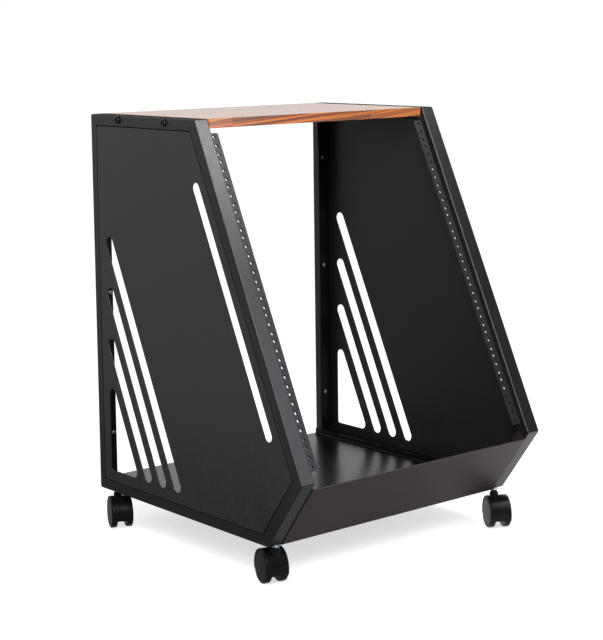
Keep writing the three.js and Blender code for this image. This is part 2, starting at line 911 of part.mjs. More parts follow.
function buildCaster(name, place) {
  const label = name.replace(/([A-Z])/, "_$1").toLowerCase();
  const fixed = new THREE.Group();
  fixed.position.copy(casterPoint(place));
  body.add(fixed);
  addMesh(fixed, `caster_stem_${label}`, casterStem(), materials.zinc);

  const swivel = new THREE.Group();
  swivel.rotation.z = THREE.MathUtils.degToRad(restAngles[name]);
  fixed.add(swivel);
  addMesh(swivel, `caster_hood_${label}`, geometryOf(casterHood()), materials.nylon);
  addMesh(swivel, `caster_axle_${label}`, casterAxle(), materials.zinc);
  for (const [end, turn] of [["a", 0], ["b", Math.PI]]) {
    const wheel = addMesh(swivel, `caster_wheel_${end}_${label}`, casterWheel(), materials.nylon);
    wheel.position.set(0, casterTrail, axleHeight);
    wheel.rotation.z = turn;
  }
}

buildSide(-1, "left");
buildSide(1, "right");
addMesh(body, "top_board", geometryOf(topBoard()), materials.wood);
addMesh(body, "bottom_shelf", geometryOf(shelf), materials.coat);
addMesh(body, "front_apron", geometryOf(apron), materials.coat);
for (const [name, place] of Object.entries(casterPlaces)) {
  buildCaster(name, place);
}

export default cabinet;
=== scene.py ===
# %% [markdown]
# A sloping rack cabinet on casters
#
# The real thing is a studio rack. Two side frames are welded from square steel tube, and a folded
# sheet panel with slanted slots fills each of them. A laminated wooden board joins them at the top,
# two perforated rails carry the equipment, and a shelf and an apron close the bottom. Four small
# twin-wheel casters let it roll.
#
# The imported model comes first. It fixes where everything is, and each piece made below is built
# around it in the same frame: +X to the right, the front towards -Y, +Z up.

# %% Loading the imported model
import math

import bpy
import numpy as np
from mathutils import Matrix, Vector


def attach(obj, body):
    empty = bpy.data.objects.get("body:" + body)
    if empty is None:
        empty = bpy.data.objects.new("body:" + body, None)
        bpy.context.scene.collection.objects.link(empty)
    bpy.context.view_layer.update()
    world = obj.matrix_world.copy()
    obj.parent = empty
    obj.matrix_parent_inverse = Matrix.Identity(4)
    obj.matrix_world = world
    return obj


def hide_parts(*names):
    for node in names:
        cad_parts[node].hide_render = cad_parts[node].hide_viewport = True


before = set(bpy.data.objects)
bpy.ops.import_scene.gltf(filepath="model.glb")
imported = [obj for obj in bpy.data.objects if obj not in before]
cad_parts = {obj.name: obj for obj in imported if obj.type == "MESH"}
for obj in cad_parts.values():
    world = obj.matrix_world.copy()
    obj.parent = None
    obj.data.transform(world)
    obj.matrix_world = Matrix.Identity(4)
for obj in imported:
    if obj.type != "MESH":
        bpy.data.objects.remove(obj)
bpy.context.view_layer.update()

# %% [markdown]
# The sizes of the cabinet
#
# These are the lengths that more than one piece needs, in millimetres. A point of the side plane
# is [depth, height]: depth runs forward from the rear face, height runs up from the underside of
# the side frames, and the floor lies a caster's height below that. FIT is the clearance between
# parts that are slid together. The left side has x below 0, and so the sign -1.

# %% Sizes
MM = 0.001
FRAME_WIDTH = 541.2
BAR_WIDTH = 27.5
FRAME_HEIGHT = 678.4
TOP_DEPTH = 310.3
NOSE_HEIGHT = 117.2
BASE_DEPTH = 488.0
SLOPE = math.radians(25.3)
CASTER_HEIGHT = 66.0

HALF_WIDTH = FRAME_WIDTH / 2
INNER_HALF = HALF_WIDTH - BAR_WIDTH
NOSE_DEPTH = TOP_DEPTH + (FRAME_HEIGHT - NOSE_HEIGHT) * math.tan(SLOPE)
SHEET = 1.5
FIT = 0.3
SIDES = [(-1, "left"), (1, "right")]
print("nose depth", round(NOSE_DEPTH, 1), "mm")


def points_of(x, y, z):
    """Three arrays of coordinates, spread over each other, as one array of points."""
    return np.stack(np.broadcast_arrays(x, y, z), -1)


def in_space(x, side_points):
    """Points of the side plane at a given x, as points of the room: depth is taken from the middle
    of the cabinet, and height is counted from the floor."""
    y = NOSE_DEPTH / 2 - side_points[..., 0]
    z = side_points[..., 1] + CASTER_HEIGHT
    return points_of(np.asarray(x, float), y, z)


# %% [markdown]
# From arrays to a mesh
#
# A shape is worked out as a grid of points, rows by columns, in one numpy array. Neighbouring
# points make four-sided faces. A grid can close on itself in either direction, and an open end can
# get a flat cap. The faces are turned outwards by looking at the sign of the volume that they hold.

# %% Grids and caps
def grid_faces(rows, columns, close_rows=False, close_columns=True):
    """The four-sided faces of a grid: each joins a point, the next one in its row, and the two
    behind them in the next row."""
    r = np.arange(rows if close_rows else rows - 1)[:, None]
    c = np.arange(columns if close_columns else columns - 1)[None, :]
    r2, c2 = (r + 1) % rows, (c + 1) % columns
    quads = np.stack([r * columns + c, r * columns + c2, r2 * columns + c2, r2 * columns + c], -1)
    return quads.reshape(-1, 4)


def shape_of(grid, close_rows=False, close_columns=True, caps=False):
    """A grid as (points, faces). With caps, the first and the last row are closed flat."""
    rows, columns = grid.shape[:2]
    faces = grid_faces(rows, columns, close_rows, close_columns).tolist()
    if caps:
        faces.append(list(range(columns))[::-1])
        faces.append(list(range((rows - 1) * columns, rows * columns)))
    return grid.reshape(-1, 3), faces


def joined(*shapes):
    """Several shapes as one: the faces of each are renumbered past the points before it."""
    points = np.concatenate([s[0] for s in shapes])
    starts = np.cumsum([0] + [len(s[0]) for s in shapes[:-1]])
    faces = [[i + int(n) for i in face] for s, n in zip(shapes, starts) for face in s[1]]
    return points, faces


def placed(shape):
    """Takes points [x, depth, height] to the room."""
    points, faces = shape
    return in_space(points[:, 0], points[:, 1:]), faces


# %% From a shape to a piece
def volume_of(points, faces):
    """The volume inside closed faces: each face is fanned into triangles, and each triangle adds a
    sixth of the triple product of its corners."""
    fans = [(f[0], f[i], f[i + 1]) for f in faces for i in range(1, len(f) - 1)]
    a, b, c = (points[np.array(fans)[:, i]] for i in range(3))
    return float(np.einsum("ij,ij->i", a, np.cross(b, c)).sum() / 6)


def linked(name, data):
    """An object of the scene, at the origin."""
    made = bpy.data.objects.new(name, data)
    bpy.context.scene.collection.objects.link(made)
    return made


def piece(name, shape, body, nodes, finish):
    """A mesh object in metres that rides on a CAD body and stands for some of its nodes. Edges that
    turn by more than 35 degrees stay sharp."""
    points, faces = shape
    if volume_of(points, faces) < 0:
        faces = [face[::-1] for face in faces]
    mesh = bpy.data.meshes.new(name)
    mesh.from_pydata((points * MM).tolist(), [], faces)
    mesh.validate()
    mesh.shade_smooth()
    mesh.set_sharp_from_angle(angle=math.radians(35))
    made = linked(name, mesh)
    even = made.modifiers.new("even_shading", "WEIGHTED_NORMAL")
    even.keep_sharp = True
    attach(made, body)
    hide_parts(*nodes)
    mesh.materials.append(finish)
    return made


# %% [markdown]
# Shader maths as sums
#
# A finish is a small network of nodes. Written out link by link it is long and hard to read, so a
# socket is wrapped in a class whose operators add the Math nodes: `1 - mask * 0.3` is a network of
# two nodes. Every other node comes from one method, which sets the node's own settings first and
# then its sockets.

# %% A socket that can be added and multiplied
class Value:
    """A number or colour that changes over a surface: a socket with operators."""

    def __init__(self, finish, socket):
        self.finish = finish
        self.socket = socket

    def math(self, operation, *terms):
        return self.finish.node("Math", {"operation": operation}, dict(enumerate(terms)))

    def __add__(self, other):
        return self.math("ADD", self, other)

    def __sub__(self, other):
        return self.math("SUBTRACT", self, other)

    def __rsub__(self, other):
        return self.math("SUBTRACT", other, self)

    def __mul__(self, other):
        return self.math("MULTIPLY", self, other)

    def floored(self):
        return self.math("FLOOR", self)

    def power(self, other):
        return self.math("POWER", self, other)

    def clamped(self):
        return self.finish.node("Clamp", {}, {"Value": self})

    __radd__ = __add__
    __rmul__ = __mul__


# %% A finish: one material and its shader
class Finish:
    """A material with a Principled shader, or the world with its background. Constants go on the
    shader's own sockets."""

    def __init__(self, name, kind="materials", shader="Principled BSDF", **constants):
        self.material = getattr(bpy.data, kind).new(name)
        self.material.use_nodes = True
        self.nodes = self.material.node_tree.nodes
        self.links = self.material.node_tree.links
        self.shader = self.nodes[shader]
        for socket, value in constants.items():
            self.shader.inputs[socket.replace("_", " ")].default_value = value

    def node(self, kind, settings, inputs, output=0):
        """Any node: its settings first, then the value or link of each socket. The kind is Blender's
        name for it without the word ShaderNode."""
        made = self.nodes.new("ShaderNode" + kind)
        for key, value in settings.items():
            if key == "stops":
                while len(made.color_ramp.elements) < len(value):
                    made.color_ramp.elements.new(0.5)
                for element, (place, colour) in zip(made.color_ramp.elements, value):
                    element.position, element.color = place, (*colour, 1)
            else:
                setattr(made, key, value)
        for key, value in inputs.items():
            if isinstance(value, Value):
                self.links.new(value.socket, made.inputs[key])
            else:
                made.inputs[key].default_value = value
        return Value(self, made.outputs[output])

    def place(self, scale=(1, 1, 1)):
        """Object coordinates, stretched."""
        here = self.node("TexCoord", {}, {}, "Object")
        return self.node("Mapping", {}, {"Vector": here, "Scale": scale})

    def coordinate(self, axis):
        """One of the object's own coordinates, in metres."""
        here = self.node("TexCoord", {}, {}, "Object")
        return self.node("SeparateXYZ", {}, {"Vector": here}, axis)

    def chance(self, number):
        """A random value from 0 to 1 for each whole number."""
        return self.node("TexWhiteNoise", {"noise_dimensions": "1D"}, {"W": number}, "Value")

    def ray_is(self, kind):
        """1 where the ray that asks is of this kind, and 0 elsewhere."""
        return self.node("LightPath", {}, {}, kind)

    def noise(self, where, scale, detail=2.0, roughness=0.5, distortion=0.0):
        wanted = {"Vector": where, "Scale": scale, "Detail": detail}
        wanted |= {"Roughness": roughness, "Distortion": distortion}
        return self.node("TexNoise", {}, wanted)

    def mixed(self, factor, first, second, blend="MIX"):
        settings = {"data_type": "RGBA", "blend_type": blend}
        return self.node("Mix", settings, {0: factor, 6: first, 7: second}, 2)

    def ramp(self, factor, stops):
        return self.node("ValToRGB", {"stops": stops}, {"Fac": factor})

    def feed(self, **sockets):
        """Links values to the shader's sockets, whose names have _ for a space here."""
        for socket, value in sockets.items():
            self.links.new(value.socket, self.shader.inputs[socket.replace("_", " ")])
        return self

    def with_painted_shade(self, share):
        """Where the share is 1, the shader gives way to a painted shade: plain near black without any
        gloss.
        """
        painted_shade_black = self.node("BsdfDiffuse", {}, {"Color": (0.004, 0.004, 0.005, 1)})
        glossy = Value(self, self.shader.outputs[0])
        both = self.node("MixShader", {}, {0: share, 1: glossy, 2: painted_shade_black})
        self.links.new(both.socket, self.nodes["Material Output"].inputs["Surface"])
        return self

    def bumped(self, height, strength, distance):
        settings = {"Strength": strength, "Distance": distance, "Height": height}
        return self.feed(Normal=self.node("Bump", {}, settings))


# %% Colours
def shade(red, green, blue):
    """A colour picked on screen, from 0 to 255, as the linear colour that shaders work in."""
    values = np.array([red, green, blue]) / 255
    linear = np.where(values <= 0.04045, values / 12.92, ((values + 0.055) / 1.055) ** 2.4)
    return tuple(float(v) for v in linear)


# %% [markdown]
# Powder coat
#
# Black powder coat isn't smooth. The paint is baked from dust and keeps a fine, soft texture that
# scatters its gloss, and that gloss is most of what the eye sees. So the base is nearly black, the
# roughness is medium, and the texture is a bump from two sizes of noise. Wide, faint clouds in the
# colour and the gloss stand for uneven spraying. Seen edge on, the texture hides its own valleys and
# the roughness rises, and past that the shader fades to a painted shade of near black. The shelf is
# the smoothest part, and its darker base is painted shade for the inside of the cabinet. The inside
# of a panel and its folded edges get darker bases and shine less: painted shade, where they lie in
# the cabinet's shadow.

# %% Powder coat
EDGE_STARTS = 0.8
EDGE_STEEPNESS = 5
EDGE_ON_SHADE_SHARE = 0.9
BUMP_DEPTH = 0.0004


def powder_coat(name, colour, roughness, gloss=0.42, grain=0.16, clouds=0.10, glancing=0.5):
    """Black powder coat: fine bump, cloudy colour and gloss, on a dark base. One minus the view's
    cosine adds its fifth power, times the glancing share, to the roughness, and past the start of
    the edge it fades the shader to a painted shade of near black."""
    finish = Finish(name, IOR=1.5, Specular_IOR_Level=gloss)
    where = finish.place()
    fine = finish.noise(where, 1500, 2.0)
    soft = finish.noise(where, 420, 1.0)
    cloud = finish.noise(where, 9, 4.0, 0.6)
    speckle = finish.ramp(soft, [(0.35, (0.5, 0.5, 0.5)), (0.65, (1.6, 1.6, 1.6))])
    lighter = tuple(v * 1.5 for v in colour)
    darker = tuple(v * 0.6 for v in colour)
    tone = finish.mixed(cloud, (*darker, 1), (*lighter, 1))
    finish.feed(Base_Color=finish.mixed(0.8, tone, speckle, "MULTIPLY"))
    facing = finish.node("LayerWeight", {}, {"Blend": 0.5}, "Facing")
    uneven = (cloud - 0.5) * clouds + (fine - 0.5) * 0.1 + (soft - 0.5) * grain * 0.7
    finish.feed(Roughness=uneven + facing.power(5) * glancing + roughness)
    finish.bumped(fine * 0.6 + soft * 0.4, grain, BUMP_DEPTH)
    # Seen nearly edge on, the shader fades to near black: painted shade.
    edge_on_shade = ((facing - EDGE_STARTS) * EDGE_STEEPNESS).clamped()
    return finish.with_painted_shade(edge_on_shade * EDGE_ON_SHADE_SHARE).material


frame_coat = powder_coat("frame_powder_coat", shade(13, 10, 12), 0.36, 0.6, glancing=0.8)
panel_coat = powder_coat("panel_powder_coat", shade(25, 19, 18), 0.4, 0.75, 0.35, 0.3)
# Painted shade: the inside of a panel and its folded flanges get darker bases than its outside.
inside_shaded_coat = powder_coat("inside_powder_coat_painted_shade", shade(17, 13, 12), 0.42, 0.46, 0.35, 0.3)
fold_shaded_coat = powder_coat("fold_powder_coat_painted_shade", shade(5, 4, 5), 0.5, 0.12)
# The shelf's base is darker than the frame's: painted shade for the inside of the cabinet.
shelf_shaded_coat = powder_coat("shelf_powder_coat_painted_shade", shade(2, 2, 3), 0.26, 0.25, 0.05, 0.05, 0.0)
apron_coat = powder_coat("apron_powder_coat", shade(38, 25, 33), 0.52)
rail_coat = powder_coat("rail_powder_coat", shade(20, 17, 21), 0.46)
print("seven powder coats for steel")

# %% [markdown]
# The side frames
#
# Each side frame is five lengths of tube, mitred, welded, ground flush and coated, so that no joint
# shows. It is one surface here: the tube's rounded section is carried round the five-sided outline.
# Every point of the section has its own outline, set back from the outside of the frame or from
# the inside of the bars, and its corners are rounded where the welds were ground.

# %% Outlines set back from the side frame
OUTLINE = np.array([
    [0, 0],
    [0, FRAME_HEIGHT],
    [TOP_DEPTH, FRAME_HEIGHT],
    [NOSE_DEPTH, NOSE_HEIGHT],
    [BASE_DEPTH, 0],
])
BAR_DEPTHS = np.array([16.5, 19.0, 19.0, 21.0, 18.0])
along = np.roll(OUTLINE, -1, 0) - OUTLINE
along /= np.linalg.norm(along, axis=1, keepdims=True)
inward = np.stack([along[:, 1], -along[:, 0]], 1)


def cross_2d(a, b):
    """How far b turns away from a: the cross product of vectors in a plane."""
    return a[..., 0] * b[..., 1] - a[..., 1] * b[..., 0]


def set_back_outline(setbacks, radius, steps=8):
    """The outline moved inwards, side by side, with its corners rounded.
    Each corner is where two moved sides meet. The arc's centre lies a radius inside both sides,
    and the arc's normal turns evenly from one side's to the next one's."""
    setbacks = np.broadcast_to(np.asarray(setbacks, float), (5,))
    start = OUTLINE + inward * setbacks[:, None]
    after, turn_to = np.roll(start, -1, 0), np.roll(along, -1, 0)
    reach = cross_2d(after - start, turn_to) / cross_2d(along, turn_to)
    corner = start + along * reach[:, None]
    turn = np.arccos(np.clip((along * turn_to).sum(1), -1, 1))
    centre = corner - along * (radius * np.tan(turn / 2))[:, None] + inward * radius
    share = np.linspace(0, 1, steps)[None, :, None] * turn[:, None, None]
    whole = turn[:, None, None]
    next_inward = np.roll(inward, -1, 0)
    normal = np.sin(whole - share) * inward[:, None] + np.sin(share) * next_inward[:, None]
    points = centre[:, None] - radius * normal / np.sin(whole)
    return points.reshape(-1, 2)


# %% A section carried round the outline
def arc(centre, radius, first, last, steps=20):
    """Points of an arc, between two angles in radians."""
    angle = np.linspace(first, last, steps)
    return np.asarray(centre) + radius * np.stack([np.cos(angle), np.sin(angle)], 1)


def quarter(centre, radius, first):
    """A quarter circle, from an angle in degrees on."""
    return arc(centre, radius, *np.radians([first, first + 90]), 5)


INNER_CORNER = 0.6
LEAST_CORNER = 0.4


def round_the_outline(side, section, corner_radius):
    """One closed surface: row by row, the outline of each point of a section.
    A section point is [x, setback, share]: its outline lies the setback plus that share of the
    bar's depth inside the frame."""
    rows = []
    for x, setback, share in section:
        radius = max(corner_radius - setback, LEAST_CORNER) if share < 0.5 else INNER_CORNER
        outline = set_back_outline(setback + share * BAR_DEPTHS, radius)
        rows.append(in_space(side * x, outline))
    return shape_of(np.array(rows), close_rows=True)


# %% The tube's section and the two frames
TUBE_ROUND = 1.8
GAP_ROUND = 0.3
OPENING_ROUND = 2.4
CORNER_ROUND = 4.0
BARS = ["rear_post", "top_bar", "front_post", "nose_bar", "base_bar"]


def tube_section():
    """A rounded rectangle: two corners follow the outside of the frame, two follow the inside."""
    outer_edge = quarter((HALF_WIDTH - TUBE_ROUND, TUBE_ROUND), TUBE_ROUND, -90)
    panel_edge = quarter((HALF_WIDTH - GAP_ROUND, -GAP_ROUND), GAP_ROUND, 0)
    inner_edge = quarter((INNER_HALF + TUBE_ROUND, -TUBE_ROUND), TUBE_ROUND, 90)
    front_edge = quarter((INNER_HALF + OPENING_ROUND, OPENING_ROUND), OPENING_ROUND, 180)
    corners = [(outer_edge, 0), (panel_edge, 1), (inner_edge, 1), (front_edge, 0)]
    rows = [np.column_stack([curve, np.full(len(curve), share)]) for curve, share in corners]
    return np.concatenate(rows)


for side, hand in SIDES:
    bars = [f"{bar}_{hand}" for bar in BARS]
    welded = round_the_outline(side, tube_section(), CORNER_ROUND)
    made = piece(f"side_frame_{hand}", welded, "frame", bars, frame_coat)
    print(made.name, len(made.data.polygons), "faces")

# %% [markdown]
# The side panels
#
# A panel is laser-cut from sheet and folded: its face lies flush with the frame, and a flange along
# each edge reaches back inside the bars. The slots have true round ends. A flat curve with holes
# fills itself, gets its thickness and a slight round on every edge, and becomes a mesh. The faces
# of that mesh that look into the cabinet get a darker coat, painted shade for the inside, and the
# flanges a near black one, painted shade for the shadow inside the bars.

# %% Flat plates with holes
def flat_plate(name, outlines, thickness, edge=0.25):
    """A filled curve with holes as (points, faces). Its first outline is the plate's edge. The plate
    lies in x and y, with its middle at z = 0."""
    curve = bpy.data.curves.new(name, "CURVE")
    curve.dimensions = "2D"
    curve.fill_mode = "BOTH"
    curve.extrude = thickness / 2 - edge
    curve.bevel_depth = edge
    curve.bevel_resolution = 1
    curve.offset = -edge
    for outline in outlines:
        spline = curve.splines.new("POLY")
        spline.points.add(len(outline) - 1)
        flat = np.zeros((len(outline), 4))
        flat[:, :2], flat[:, 3] = outline, 1
        spline.points.foreach_set("co", flat.ravel())
        spline.use_cyclic_u = True
    holder = linked(name, curve)
    bpy.context.view_layer.update()
    filled = holder.evaluated_get(bpy.context.evaluated_depsgraph_get())
    mesh = bpy.data.meshes.new_from_object(filled)
    points = np.empty(len(mesh.vertices) * 3)
    mesh.vertices.foreach_get("co", points)
    faces = [list(polygon.vertices) for polygon in mesh.polygons]
    bpy.data.objects.remove(holder)
    bpy.data.curves.remove(curve)
    bpy.data.meshes.remove(mesh)
    return points.reshape(-1, 3), faces


def stood_up(plate, x):
    """A plate turned to stand at x: its own two directions are now depth and height."""
    points, faces = plate
    return in_space(x - points[:, 2], points[:, :2]), faces


def slot(top, bottom, radius):
    """A slot with round ends: half a circle about each end centre."""
    run = np.subtract(bottom, top)
    heading = math.atan2(run[1], run[0])
    upper = arc(top, radius, heading + math.pi / 2, heading + 3 * math.pi / 2)
    lower = arc(bottom, radius, heading - math.pi / 2, heading + math.pi / 2)
    return np.concatenate([upper, lower])


def rounded_corner(before, corner, after, radius, steps):
    """The arc that touches both sides of a corner. Its centre lies on the corner's bisector, the
    radius divided by the sine of half the corner's angle away."""
    back = (before - corner) / np.linalg.norm(before - corner)
    ahead = (after - corner) / np.linalg.norm(after - corner)
    half = math.acos(np.clip(back @ ahead, -1, 1)) / 2
    middle = (back + ahead) / np.linalg.norm(back + ahead)
    centre = corner + middle * radius / math.sin(half)
    first = corner + back * radius / math.tan(half) - centre
    last = corner + ahead * radius / math.tan(half) - centre
    start = math.atan2(first[1], first[0])
    sweep = (math.atan2(last[1], last[0]) - start + math.pi) % (2 * math.pi) - math.pi
    return arc(centre, radius, start, start + sweep, steps)


def rounded_polygon(corners, radii, steps=10):
    """A polygon with each corner cut to an arc of its own radius."""
    corners = np.asarray(corners, float)
    around = zip(np.roll(corners, 1, 0), corners, np.roll(corners, -1, 0), radii)
    return np.concatenate([rounded_corner(*four, steps) for four in around])


# %% The slots of a panel
SLOT_WIDTH = 21.2
SLOT_PITCH = 39.2
SLOT_BACK = 332.3
SLOT_TOP_DEPTH = 49.5
SLOT_LOW_HEIGHT = 49.2
FRONT_SLOT_WIDTH = 18.0
FRONT_SLOT_BACK = 47.0
FRONT_SLOT_HEIGHTS = [565.7, 182.2]
TRIANGLE_BACK = 440.5
TRIANGLE_REAR = 38.0
TRIANGLE_LOW = 39.5
PANEL_GAP = 0.9


class Line:
    """A straight side of the outline. Its points are given by a run down it and a way back from it,
    square to it: start + run * down + back * inwards."""

    def __init__(self, start, end):
        self.start = np.array(start, float)
        self.down = (end - self.start) / np.linalg.norm(end - self.start)
        self.inwards = np.array([self.down[1], -self.down[0]])

    def at(self, run, back):
        return self.start + np.multiply.outer(run, self.down) + np.multiply.outer(back, self.inwards)

    def reaches(self, back, axis, value):
        """Where the line this way back reaches a depth (axis 0) or a height (axis 1)."""
        run = (value - self.start[axis] - back * self.inwards[axis]) / self.down[axis]
        return self.at(run, back)


slope = Line(OUTLINE[2], OUTLINE[3])
front_ends = [slope.reaches(FRONT_SLOT_BACK, 1, height) for height in FRONT_SLOT_HEIGHTS]
panel_holes = [slot(*front_ends, FRONT_SLOT_WIDTH / 2)]
for number in range(3):
    back = SLOT_BACK + number * SLOT_PITCH
    ends = slope.reaches(back, 0, SLOT_TOP_DEPTH), slope.reaches(back, 1, SLOT_LOW_HEIGHT)
    panel_holes.append(slot(*ends, SLOT_WIDTH / 2))
triangle = [
    slope.reaches(TRIANGLE_BACK, 1, TRIANGLE_LOW),
    slope.reaches(TRIANGLE_BACK, 0, TRIANGLE_REAR),
    [TRIANGLE_REAR, TRIANGLE_LOW],
]
panel_holes.append(rounded_polygon(triangle, [10, 10, 4]))
print(len(panel_holes), "cut-outs in each panel")

# %% Panels and their flanges
FLANGE = 23.0
SEEN_GAP = PANEL_GAP + 0.8
PANEL_CORNER = 4.0


def flange_section():
    """The folded edge: a thin rectangle that starts behind the panel's face."""
    outer, inner = HALF_WIDTH - SHEET / 2, HALF_WIDTH - SHEET - FLANGE
    return [
        [outer, SEEN_GAP, 1],
        [outer, PANEL_GAP + SHEET, 1],
        [inner, PANEL_GAP + SHEET, 1],
        [inner, SEEN_GAP, 1],
    ]


panel_edge = set_back_outline(SEEN_GAP + BAR_DEPTHS, PANEL_CORNER)
panel_plate = flat_plate("panel_face", [panel_edge, *panel_holes], SHEET)
for side, hand in SIDES:
    plate = stood_up(panel_plate, side * (HALF_WIDTH - SHEET / 2))
    flange = round_the_outline(side, flange_section(), PANEL_CORNER)
    node = [f"side_panel_{hand}"]
    made = piece(f"panel_{hand}", plate, "frame", node, panel_coat)
    # The faces that look into the cabinet get the darker coat: painted shade.
    made.data.materials.append(inside_shaded_coat)
    outward = np.empty(len(made.data.polygons) * 3)
    made.data.polygons.foreach_get("normal", outward)
    faces_in_painted_shade = (outward[::3] * side < -0.5).astype(np.int32)
    made.data.polygons.foreach_set("material_index", faces_in_painted_shade)
    print(made.name, int(faces_in_painted_shade.sum()), "faces on the inside")
    # The flanges get the near black coat: painted shade.
    piece(f"panel_flange_{hand}", flange, "frame", node, fold_shaded_coat)

# %% [markdown]
# The rack rails
#
# Equipment is screwed to two flat steel strips with rounded corners. Their holes repeat every rack
# unit of 44.45 mm in the standard rhythm of 15.875, 15.875 and 12.7 mm. The strips lie just behind
# the front slope, each on two tabs that are folded back against the side frame. Behind each hole
# the metal is drawn out to a short threaded collar, so that an oblique look through it is narrow.

# %% Rails
RACK_UNIT = 44.45
RACK_UNITS = 13
HOLE_RADIUS = 3.0
THREAD_RADIUS = 2.7
COLLAR_RADIUS = 3.9
COLLAR_REACH = 1.6
HOLE_COLUMN = 465.1 / 2
RAIL_TOP = 21.6
RAIL_BACK = 9.9
RAIL_SHEET = 2.0
RAIL_INSIDE = 222.8
RAIL_OUTSIDE = 242.8
TAB_REACH = 20.0
TAB_LENGTH = 30.0
TAB_SHARES = [0.08, 0.92]
rail_length = RACK_UNIT * RACK_UNITS

first_holes = np.array([6.35, 22.225, 38.1])
hole_runs = (RAIL_TOP + first_holes + RACK_UNIT * np.arange(RACK_UNITS)[:, None]).ravel()
print(len(hole_runs), "holes in each rail, from", round(hole_runs[0], 2), "to", round(hole_runs[-1], 2))

# %% Blocks and collars
def block(low, high, corner, edge, rise=(-90, -45, 0, 0, 45, 90), steps=3):
    """A block with rounded corners and eased edges. Each row goes round the four corners in quarter
    turns, set in by the edge times one minus the cosine of the row's rise in degrees, and lies the
    edge times its sine past the start of the edge."""
    middle, half = np.add(low, high) / 2, np.subtract(high, low) / 2
    rise = np.radians(rise)[:, None]
    around = (np.arange(4)[:, None] * math.pi / 2 + np.linspace(0, math.pi / 2, steps)).ravel()
    reach = corner - edge * (1 - np.cos(rise))
    x = np.repeat([1, -1, -1, 1], steps) * (half[0] - corner) + reach * np.cos(around)
    y = np.repeat([1, 1, -1, -1], steps) * (half[1] - corner) + reach * np.sin(around)
    z = np.repeat([-1, 1], len(rise) // 2)[:, None] * (half[2] - edge) + edge * np.sin(rise)
    return shape_of(middle + points_of(x, y, z), caps=True)


def threaded_collars(side):
    """A short ring behind every hole: a four-cornered section turned about the hole's axis, all the
    holes at once in one array of [hole, section corner, angle]."""
    angle = np.linspace(0, 2 * math.pi, 18, endpoint=False)
    near, far = RAIL_BACK + 0.3, RAIL_BACK + RAIL_SHEET + COLLAR_REACH
    back = np.array([near, near, far, far])[:, None]
    outer = COLLAR_RADIUS
    radius = np.array([THREAD_RADIUS, outer, outer - 0.3, THREAD_RADIUS])[:, None]
    x = side * HOLE_COLUMN + radius * np.cos(angle)
    up = -hole_runs[:, None, None] + radius * np.sin(angle)
    rings = points_of(x, back, up)
    return joined(*[shape_of(ring, close_rows=True) for ring in rings])


def laid_on_slope(shape):
    """Takes points given as [x, back from the slope, up the slope] to the room."""
    points, faces = shape
    on_slope = slope.start - np.outer(points[:, 2], slope.down) + np.outer(points[:, 1], slope.inwards)
    return in_space(points[:, 0], on_slope), faces


# %% The two rails
rail_corners = np.array([
    [RAIL_INSIDE, -RAIL_TOP],
    [RAIL_OUTSIDE, -RAIL_TOP],
    [RAIL_OUTSIDE, -RAIL_TOP - rail_length],
    [RAIL_INSIDE, -RAIL_TOP - rail_length],
])
last_angle = 2 * math.pi * 23 / 24
for side, hand in SIDES:
    outlines = [rounded_polygon(rail_corners * [side, 1], [3, 1, 1, 3])]
    for run in hole_runs:
        outlines.append(arc((side * HOLE_COLUMN, -run), HOLE_RADIUS, 0, last_angle, 24))
    points, faces = flat_plate("rail_face", outlines, RAIL_SHEET, 0.2)
    behind = RAIL_BACK + RAIL_SHEET / 2 - points[:, 2]
    face = (np.column_stack([points[:, 0], behind, points[:, 1]]), faces)
    wall = sorted([side * RAIL_OUTSIDE, side * (RAIL_OUTSIDE - RAIL_SHEET)])
    tabs = []
    for share in TAB_SHARES:
        z = -RAIL_TOP - rail_length * share
        tab_low = [wall[0], RAIL_BACK + 1, z - TAB_LENGTH / 2]
        tab_high = [wall[1], RAIL_BACK + TAB_REACH, z + TAB_LENGTH / 2]
        tabs.append(block(tab_low, tab_high, 0.3, 0.3))
    node = [f"rack_rail_{hand}"]
    piece(f"rail_{hand}", laid_on_slope(face), "frame", node, rail_coat)
    tabs = laid_on_slope(joined(*tabs))
    piece(f"rail_tabs_{hand}", tabs, "frame", node, rail_coat)
    collars = laid_on_slope(threaded_collars(side))
    piece(f"rail_threads_{hand}", collars, "frame", node, rail_coat)

# %% [markdown]
# The wooden board
#
# The board is glued up from staves of a striped hardwood and lacquered. A tree grows in thin layers,
# and the stripes are where a stave's faces cut them. So the finish finds the stave that a point lies
# in, takes a random number for it, and gives each of many tilted layers a tone. The number tilts and
# moves the layers and lightens the stave, so that the pattern jumps where two staves meet. The
# lacquer is a smooth coat on top: seen from so low, it turns the board's top nearly white.

